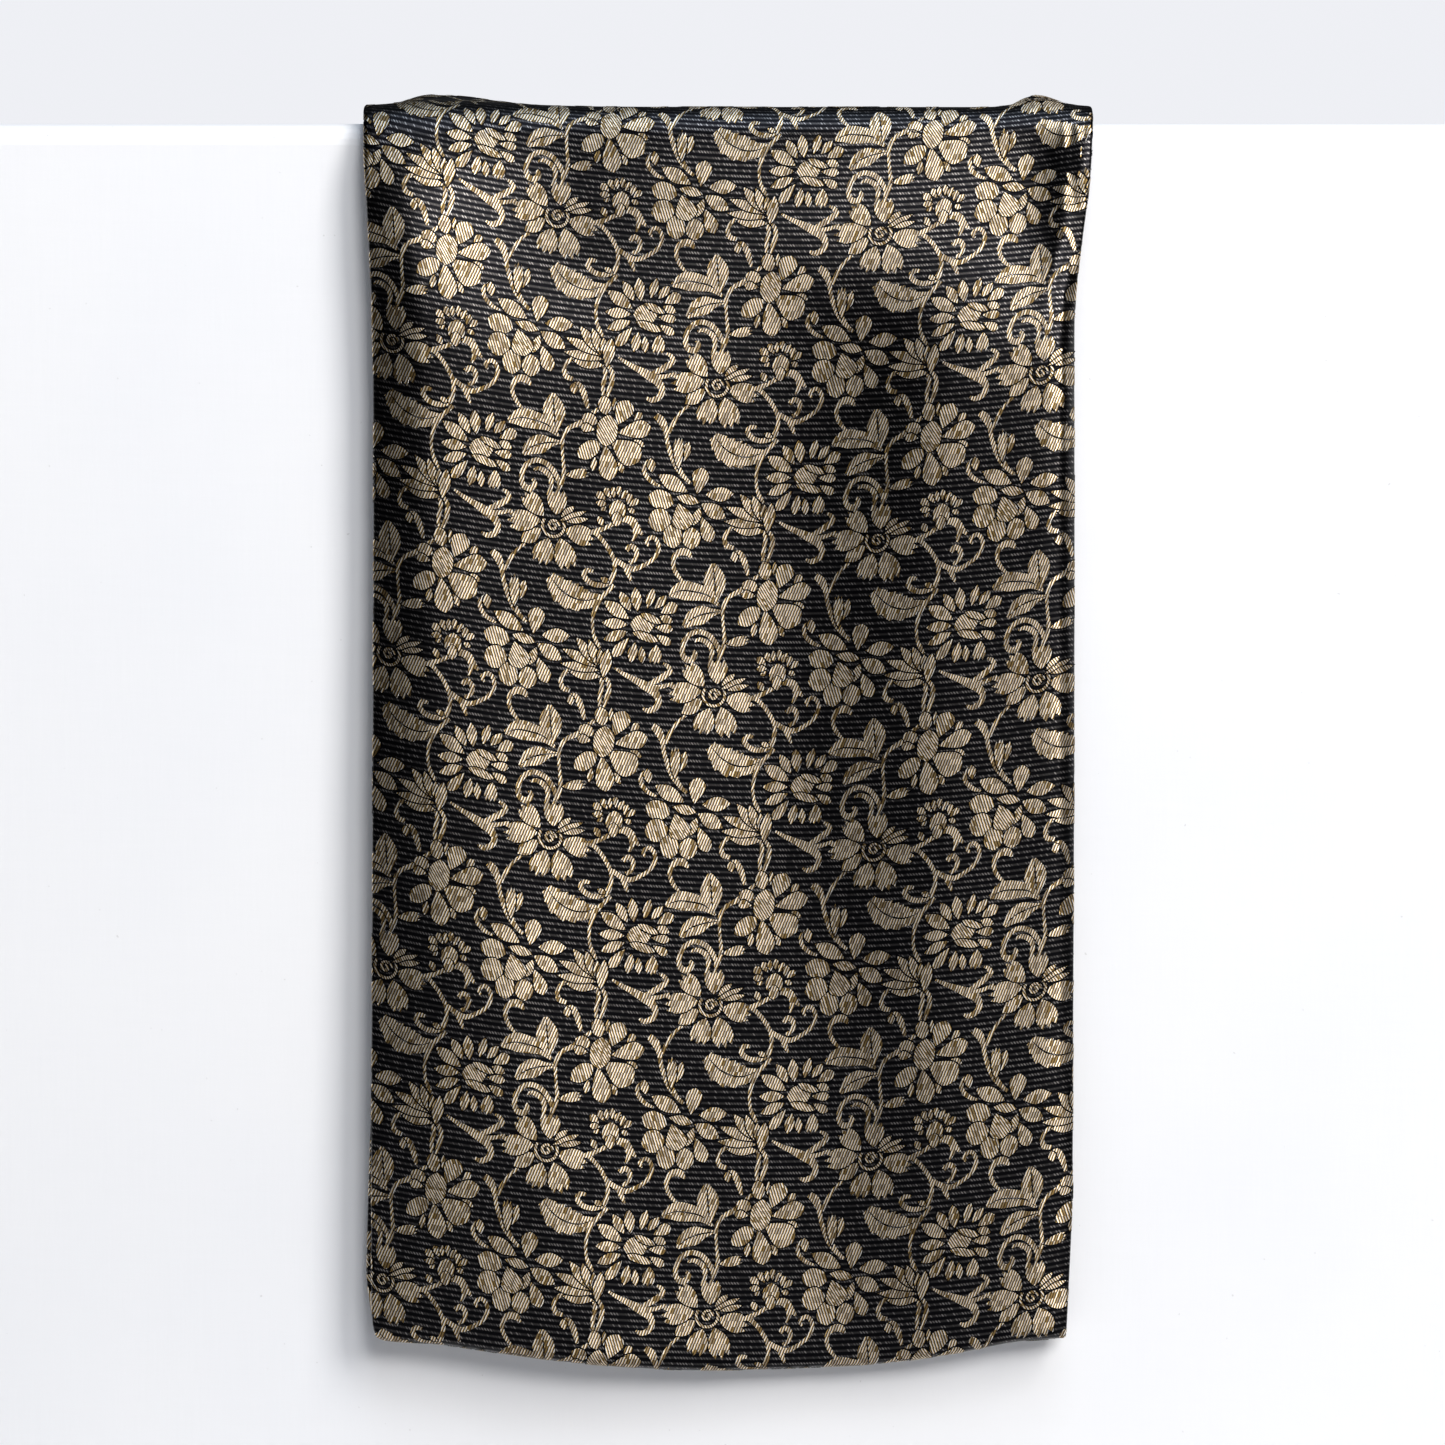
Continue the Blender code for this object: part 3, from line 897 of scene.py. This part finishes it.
def make_sheet(materials):
    """The whole folded sheet, from one cut edge round both folded edges to the other."""
    places = run_places()
    left, right = (edge[:, None] for edge in edges_at(places))
    width = right - left
    turn = math.pi * LAYER_PITCH / 2
    flap = (FLAT_WIDTH - width) / 2 - turn
    flap_share = np.arange(FLAP_COLUMNS, 0, -1) / FLAP_COLUMNS
    turn_share = np.arange(TURN_COLUMNS, 0, -1) / TURN_COLUMNS
    outer_share = np.arange(OUTER_COLUMNS + 1) / OUTER_COLUMNS
    x = np.concatenate(
        (
            left - turn - flap * flap_share,
            left - turn * turn_share,
            left + width * outer_share,
            right + turn * turn_share[::-1],
            right + turn + flap * flap_share[::-1],
        ),
        axis=1,
    )
    rows, columns = x.shape
    x = x.reshape(-1)
    place = np.repeat(places, columns)
    points = folded_points(x, place, np.zeros_like(x))
    corner = (np.arange(rows - 1)[:, None] * columns + np.arange(columns - 1)).reshape(-1)
    faces = np.stack((corner, corner + 1, corner + columns + 1, corner + columns), axis=1)
    weave = np.stack((x, woven_place(x, place)), axis=1)
    sheet = mesh_object("brocade_sheet", points, faces.tolist(), {"weave": weave}, materials)
    thickness = sheet.modifiers.new("thickness", "SOLIDIFY")
    thickness.thickness = SHEET_THICKNESS
    thickness.offset = 0.0
    thickness.use_even_offset = True
    return apply_modifiers(sheet)


def repeat_arrays():
    """One repeat of the chart on the straightened cloth: points, lifts, edges, quads, kinds."""
    points = []
    lifts = []
    edges = []
    quads = []
    kinds = []
    count = 0
    for number, (chart, faces, chart_edges, kind) in enumerate(repeat_shapes()):
        x = CHART_X + chart[:, 0] * CHART_SQUARE
        seen = CHART_PLACE + chart[:, 1] * CHART_SQUARE
        woven = seen + weft_bow(x) - weft_bow(CHART_X)
        level = KINDS[kind][0] + number % FLOAT_LIFT_LEVELS
        points.append(np.stack((x, woven), axis=1))
        lifts.append(np.full(len(chart), FLOAT_LIFT + FLOAT_LIFT_STEP * level))
        edges.append(chart_edges * CHART_SQUARE)
        quads.append(faces + count)
        kinds.append(np.full(len(faces), list(KINDS).index(kind)))
        count += len(chart)
    return [np.concatenate(rows) for rows in (points, lifts, edges, quads, kinds)]


def copies(first_place, last_place, left, right):
    """Shifts of the repeat, in a half drop, that reach a stretch of the cloth."""
    shifts = []
    wide = REPEAT_WIDTH * CHART_SQUARE
    high = REPEAT_HEIGHT * CHART_SQUARE
    first_column = math.floor((left - CHART_X) / wide) - SPARE_COPIES
    last_column = math.ceil((right - CHART_X) / wide) + SPARE_COPIES
    first_row = math.floor((first_place - CHART_PLACE) / high) - SPARE_COPIES
    last_row = math.ceil((last_place - CHART_PLACE) / high) + SPARE_COPIES
    for column in range(first_column, last_column):
        drop = high / 2 if column % 2 else 0.0
        shifts += [(column * wide, row * high + drop) for row in range(first_row, last_row)]
    return shifts


def cut_and_keep(mesh, axis, levels, low, high):
    """Cuts a flat mesh at levels along one axis and keeps what lies from low to high."""
    for level in sorted(set(levels) | {low, high}):
        reach = []
        for face in mesh.faces:
            sides = [vert.co[axis] - level for vert in face.verts]
            if min(sides) < 0.0 < max(sides):
                reach.append(face)
        edges = {edge for face in reach for edge in face.edges}
        verts = {vert for face in reach for vert in face.verts}
        normal = [float(number == axis) for number in range(3)]
        bmesh.ops.bisect_plane(
            mesh,
            geom=list(verts) + list(edges) + reach,
            dist=CUT_TOLERANCE,
            plane_co=[level * part for part in normal],
            plane_no=normal,
        )
    outside = []
    for face in mesh.faces:
        middle = sum(vert.co[axis] for vert in face.verts) / len(face.verts)
        if not low < middle < high:
            outside.append(face)
    bmesh.ops.delete(mesh, geom=outside, context="FACES")


def slide(mesh, distance_at):
    """Moves each point of a flat mesh to the left by the distance at its place."""
    places = np.array([vert.co.y for vert in mesh.verts])
    for vert, distance in zip(mesh.verts, distance_at(places)):
        vert.co.x -= distance


def flat_figure(first_place, last_place, left, right):
    """The repeats of the figure that reach a stretch of the sheet, laid out flat."""
    chart, chart_lifts, chart_edges, quads, kinds = repeat_arrays()
    points = []
    edges = []
    faces = []
    face_kinds = []
    count = 0
    for shift_x, shift_place in copies(first_place, last_place, left, right):
        woven = chart[:, 1] + shift_place
        x = chart[:, 0] + shift_x - WARP_LEAN * (woven - CHART_PLACE)
        place = hung_place(x, woven)
        inside = (x > left) & (x < right) & (place > first_place) & (place < last_place)
        kept = inside[quads].any(axis=1)
        used, packed = np.unique(quads[kept], return_inverse=True)
        points.append(np.stack((x[used], place[used], chart_lifts[used]), axis=1))
        edges.append(chart_edges[used])
        faces.append(packed.reshape(-1, 4) + count)
        face_kinds.append(kinds[kept])
        count += len(used)
    flat = bpy.data.meshes.new("flat figure")
    flat.from_pydata(np.concatenate(points).tolist(), [], np.concatenate(faces).tolist())
    flat.polygons.foreach_set("material_index", np.concatenate(face_kinds).astype(np.int32))
    edges = np.concatenate(edges)
    for column, name in enumerate(EDGE_NAMES):
        flat.attributes.new(name, "FLOAT", "POINT").data.foreach_set("value", edges[:, column])
    mesh = bmesh.new()
    mesh.from_mesh(flat)
    bpy.data.meshes.remove(flat)
    return mesh


def make_figure(name, first_place, last_place, materials):
    """The gold figure on one stretch of the outer layer and round its folded edges."""
    left = min(row[1] for row in OUTLINE) - LAYER_PITCH * 2
    right = max(row[2] for row in OUTLINE) + LAYER_PITCH * 2
    far = 2 * (right - left)
    mesh = flat_figure(first_place, last_place, left, right)
    reach = math.pi * LAYER_PITCH / 2 + EDGE_WRAP
    steps = [step * TURN_CUT for step in range(math.ceil(reach / TURN_CUT))]
    slide(mesh, lambda places: edges_at(places)[0])
    cut_and_keep(mesh, 0, [-step for step in steps], -reach, far)
    slide(mesh, width_at)
    cut_and_keep(mesh, 0, steps, -far, reach)
    hem_steps = math.ceil(HEM_RADIUS * math.pi / HEM_CUT)
    hem_cuts = [FRONT_END + step * HEM_CUT for step in range(hem_steps + 1)]
    hem_cuts = [level for level in hem_cuts if first_place < level < last_place]
    cut_and_keep(mesh, 1, hem_cuts, first_place, last_place)
    mesh.verts.index_update()
    flat = np.array([vert.co[:] for vert in mesh.verts])
    layers = [mesh.verts.layers.float[edge_name] for edge_name in EDGE_NAMES]
    edges = np.array([[vert[layer] for layer in layers] for vert in mesh.verts])
    faces = [[vert.index for vert in face.verts] for face in mesh.faces]
    kinds = [face.material_index for face in mesh.faces]
    mesh.free()
    place = flat[:, 1]
    x = flat[:, 0] + edges_at(place)[1]
    points = folded_points(x, place, SHEET_THICKNESS / 2 + flat[:, 2])
    weave = np.stack((x, woven_place(x, place)), axis=1)
    return mesh_object(name, points, faces, {"weave": weave, "edges": edges}, materials, kinds)


class Nodes:
    """A short way to write a material's node tree."""

    def __init__(self, name):
        self.material = bpy.data.materials.new(name)
        self.material.use_nodes = True
        self.tree = self.material.node_tree
        self.shader = self.tree.nodes["Principled BSDF"]

    def new(self, kind):
        return self.tree.nodes.new("ShaderNode" + kind)

    def map_vector(self, name):
        node = self.new("UVMap")
        node.uv_map = name
        return node.outputs["UV"]

    def split(self, vector):
        node = self.new("SeparateXYZ")
        self.plug(vector, node.inputs[0])
        return node.outputs[0], node.outputs[1]

    def plug(self, value, socket):
        if isinstance(value, bpy.types.NodeSocket):
            self.tree.links.new(value, socket)
        else:
            socket.default_value = value

    def set(self, name, value):
        self.plug(value, self.shader.inputs[name])

    def math(self, operation, first, second=0.0, third=0.0):
        node = self.new("Math")
        node.operation = operation
        for value, socket in zip((first, second, third), node.inputs):
            self.plug(value, socket)
        return node.outputs[0]

    def ramp(self, value, low, high):
        """A soft step of a value from 0 at low to 1 at high."""
        node = self.new("MapRange")
        node.interpolation_type = "SMOOTHSTEP"
        self.plug(value, node.inputs["Value"])
        node.inputs["From Min"].default_value = low
        node.inputs["From Max"].default_value = high
        return node.outputs[0]

    def from_middle(self, share):
        """How far a share from 0 to 1 lies from its middle."""
        return self.math("ABSOLUTE", self.math("SUBTRACT", share, 0.5))

    def noise(self, source, scale, detail, stretch):
        """Noise over a vector, from 0 to 1."""
        mapping = self.new("Mapping")
        mapping.inputs["Scale"].default_value = stretch
        self.plug(source, mapping.inputs["Vector"])
        node = self.new("TexNoise")
        self.plug(mapping.outputs[0], node.inputs["Vector"])
        node.inputs["Scale"].default_value = scale
        node.inputs["Detail"].default_value = detail
        return node.outputs["Fac"]

    def chance(self, first, second):
        """A random number from 0 to 1 for a pair of whole numbers."""
        pair = self.new("CombineXYZ")
        self.plug(first, pair.inputs[0])
        self.plug(second, pair.inputs[1])
        node = self.new("TexWhiteNoise")
        node.noise_dimensions = "2D"
        self.plug(pair.outputs[0], node.inputs["Vector"])
        return node.outputs["Value"]

    def mix(self, share, first, second):
        node = self.new("Mix")
        node.data_type = "RGBA"
        for name, value in (("Factor_Float", share), ("A_Color", first), ("B_Color", second)):
            self.plug(value, next(s for s in node.inputs if s.identifier == name))
        return next(s for s in node.outputs if s.identifier == "Result_Color")

    def bump(self, height, distance, strength):
        node = self.new("Bump")
        node.inputs["Strength"].default_value = strength
        node.inputs["Distance"].default_value = distance
        self.plug(height, node.inputs["Height"])
        self.set("Normal", node.outputs[0])

    def dashes(self, pitch, lean, row, row_shift):
        """Leaning floats in bound rows: place in a float, place in a row, a chance for each."""
        across, along = self.split(self.map_vector("weave"))
        rows = self.math("MULTIPLY", along, 1.0 / row)
        number = self.math("FLOOR", rows)
        shifted = self.math("MULTIPLY", along, lean / pitch)
        shifted = self.math("MULTIPLY_ADD", number, row_shift, shifted)
        phase = self.math("MULTIPLY_ADD", across, 1.0 / pitch, shifted)
        chance = self.chance(self.math("FLOOR", phase), number)
        return self.math("FRACT", phase), self.math("FRACT", rows), chance


def add_lustre(nodes, metallic, roughness, anisotropy):
    """A metallic lustre whose lobe spreads along the warps."""
    tangent = nodes.new("Tangent")
    tangent.direction_type = "UV_MAP"
    tangent.uv_map = "weave"
    nodes.set("Tangent", tangent.outputs[0])
    nodes.set("Anisotropic Rotation", ALONG_WARP)
    nodes.set("Metallic", metallic)
    nodes.set("Roughness", roughness)
    nodes.set("Anisotropic", anisotropy)


def gold_material(name, lean, row):
    """Gold yarn in leaning floats between dark bindings, with painted glints, a painted highlight
    on each float and a dark outline to each petal.
    """
    nodes = Nodes(name)
    across, down, chance = nodes.dashes(GOLD_PITCH, lean, row, GOLD_ROW_SHIFT)
    start = nodes.ramp(across, *FLOAT_START)
    shown = nodes.math("MULTIPLY", start, nodes.ramp(across, *FLOAT_END))
    bound = nodes.ramp(nodes.from_middle(down), *BINDING_EDGE)
    bound = nodes.math("MULTIPLY_ADD", bound, BINDING_DEPTH, 1 - BINDING_DEPTH)
    shown = nodes.math("MULTIPLY", shown, bound)
    # Painted glints: a random brightness for each float
    painted_glint = nodes.math("MULTIPLY_ADD", chance, PAINTED_GLINT_SPREAD, PAINTED_GLINT_LEAST)
    # Painted highlight: a pale side to each float
    painted_highlight_side = nodes.ramp(across, *PAINTED_HIGHLIGHT_PART)
    painted_highlight_mix = nodes.math("MULTIPLY", painted_highlight_side, nodes.ramp(chance, *PAINTED_HIGHLIGHT_CHANCE))
    # The yarn's amber with its painted highlight
    yarn = nodes.mix(painted_highlight_mix, GOLD_AMBER, GOLD_PAINTED_HIGHLIGHT)
    gold = nodes.mix(nodes.math("MULTIPLY", shown, painted_glint), GOLD_GAP, yarn)
    left, right = nodes.split(nodes.map_vector("edges"))
    rim = nodes.math("MULTIPLY_ADD", chance, -EDGE_JAG, nodes.math("MINIMUM", left, right))
    inside = nodes.ramp(rim, OUTLINE_WIDTH - OUTLINE_SOFTNESS, OUTLINE_WIDTH)
    nodes.set("Base Color", nodes.mix(inside, SILK_BLACK, gold))
    add_lustre(nodes, *GOLD_LUSTRE)
    nodes.bump(shown, FLOAT_HEIGHT, GOLD_BUMP)
    return nodes.material


def ground_material():
    """Black silk in fine ribs, with dull dashes and a satin sheen."""
    nodes = Nodes("black_silk_ground")
    across, down, chance = nodes.dashes(GROUND_PITCH, GROUND_LEAN, GROUND_RIB, GROUND_RIB_SHIFT)
    start = nodes.ramp(across, *DASH_START)
    dash = nodes.math("MULTIPLY", start, nodes.ramp(across, *DASH_END))
    rib = nodes.ramp(nodes.from_middle(down), *RIB_EDGE)
    speckle = nodes.math("MULTIPLY", dash, nodes.ramp(chance, *DASH_CHANCE))
    speckle = nodes.math("MULTIPLY_ADD", speckle, DASH_SHARE, 1 - DASH_SHARE)
    lit = nodes.math("MULTIPLY", rib, speckle)
    nodes.set("Base Color", nodes.mix(lit, SILK_BLACK, SILK_DASH))
    add_lustre(nodes, *GROUND_LUSTRE)
    nodes.bump(nodes.math("MULTIPLY_ADD", rib, RIB_SHARE, dash), RIB_HEIGHT, GROUND_BUMP)
    return nodes.material


def paint_material():
    """Matt white brushed paint, with faint bristle marks and small specks."""
    nodes = Nodes("brushed_white_paint")
    place = nodes.new("TexCoord").outputs["Object"]
    strokes = nodes.noise(place, *STROKES)
    upright = nodes.noise(place, *UPRIGHT_STROKES)
    cloud = nodes.ramp(nodes.noise(place, *CLOUDS), *CLOUD_EDGE)
    specks = nodes.ramp(nodes.noise(place, *SPECKS), *SPECK_EDGE)
    tone = nodes.mix(cloud, PAINT_COOL, PAINT_WHITE)
    tone = nodes.mix(nodes.math("MULTIPLY", specks, SPECK_STRENGTH), tone, PAINT_SPECK)
    nodes.set("Base Color", tone)
    nodes.set("Roughness", PAINT_ROUGHNESS)
    nodes.bump(nodes.math("ADD", strokes, upright), STROKE_HEIGHT, STROKE_BUMP)
    return nodes.material


def floor_material():
    """Plain pale paper."""
    nodes = Nodes("pale_floor")
    place = nodes.new("TexCoord").outputs["Object"]
    grain = nodes.noise(place, *PAPER_GRAIN)
    nodes.set("Base Color", nodes.mix(grain, FLOOR_LOW, FLOOR_HIGH))
    nodes.set("Roughness", FLOOR_ROUGHNESS)
    return nodes.material


def make_floor():
    """A pale floor all round."""
    corners = ((-1, -1), (1, -1), (1, 1), (-1, 1))
    points = np.array([(x * FLOOR_REACH, y * FLOOR_REACH, 0.0) for x, y in corners])
    floor = mesh_object("pale_floor", points, [(0, 1, 2, 3)], {}, [floor_material()])


def make_world():
    """A dim studio whose far backdrop looks pale."""
    world = bpy.data.worlds.new("studio")
    bpy.context.scene.world = world
    world.use_nodes = True
    tree = world.node_tree
    dim = tree.nodes["Background"]
    dim.inputs["Color"].default_value = WORLD_COLOUR
    dim.inputs["Strength"].default_value = WORLD_STRENGTH
    pale = tree.nodes.new("ShaderNodeBackground")
    pale.inputs["Color"].default_value = BACKDROP_COLOUR
    seen = tree.nodes.new("ShaderNodeLightPath").outputs["Is Camera Ray"]
    mix = tree.nodes.new("ShaderNodeMixShader")
    tree.links.new(seen, mix.inputs[0])
    tree.links.new(dim.outputs[0], mix.inputs[1])
    tree.links.new(pale.outputs[0], mix.inputs[2])
    tree.links.new(mix.outputs[0], tree.nodes["World Output"].inputs["Surface"])


def add_light(name, azimuth, elevation, distance, width, height, power, colour):
    """A soft rectangular light that faces the panel's middle."""
    data = bpy.data.lights.new(name, "AREA")
    data.shape = "RECTANGLE"
    data.size = width
    data.size_y = height
    data.energy = power
    data.color = colour
    light = bpy.data.objects.new(name, data)
    bpy.context.scene.collection.objects.link(light)
    turn = math.radians(azimuth)
    lift = math.radians(elevation)
    level = distance * math.cos(lift)
    out = Vector((level * math.sin(turn), -level * math.cos(turn), distance * math.sin(lift)))
    light.location = out + Vector((0.0, 0.0, PANEL_MIDDLE_HEIGHT))
    light.rotation_euler = (-out).to_track_quat("-Z", "Y").to_euler()
    light.visible_camera = False


def make_camera():
    """A level camera in front of the panel."""
    data = bpy.data.cameras.new("camera")
    data.sensor_width = SENSOR_WIDTH
    data.lens = SENSOR_WIDTH * CAMERA_DISTANCE / VIEW_WIDTH
    camera = bpy.data.objects.new("camera", data)
    camera.location = (0.0, FRONT_PLANE - CAMERA_DISTANCE, VIEW_MIDDLE_HEIGHT)
    camera.rotation_euler = (math.pi / 2, 0.0, 0.0)
    bpy.context.scene.collection.objects.link(camera)
    bpy.context.scene.camera = camera


make_camera()
make_floor()
bpy.context.scene.view_settings.view_transform = "Standard"
make_world()
for row in LIGHTS:
    add_light(*row)

sheet = make_sheet([ground_material()])
golds = [gold_material("gold_" + kind, lean, row) for kind, (lift, lean, row) in KINDS.items()]
figures = [
    make_figure("gold_figure_front", 0.0, FRONT_END, golds),
    make_figure("gold_figure_back", -TOP_MIDDLE + END_MARGIN, 0.0, golds),
    make_figure("gold_figure_turn_up", FRONT_END, SHEET_END - END_MARGIN, golds),
]

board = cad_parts["board"]
board.data.materials.clear()
board.data.materials.append(paint_material())

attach(sheet, "root")
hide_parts("cloth")
for figure in figures:
    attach(figure, "root")
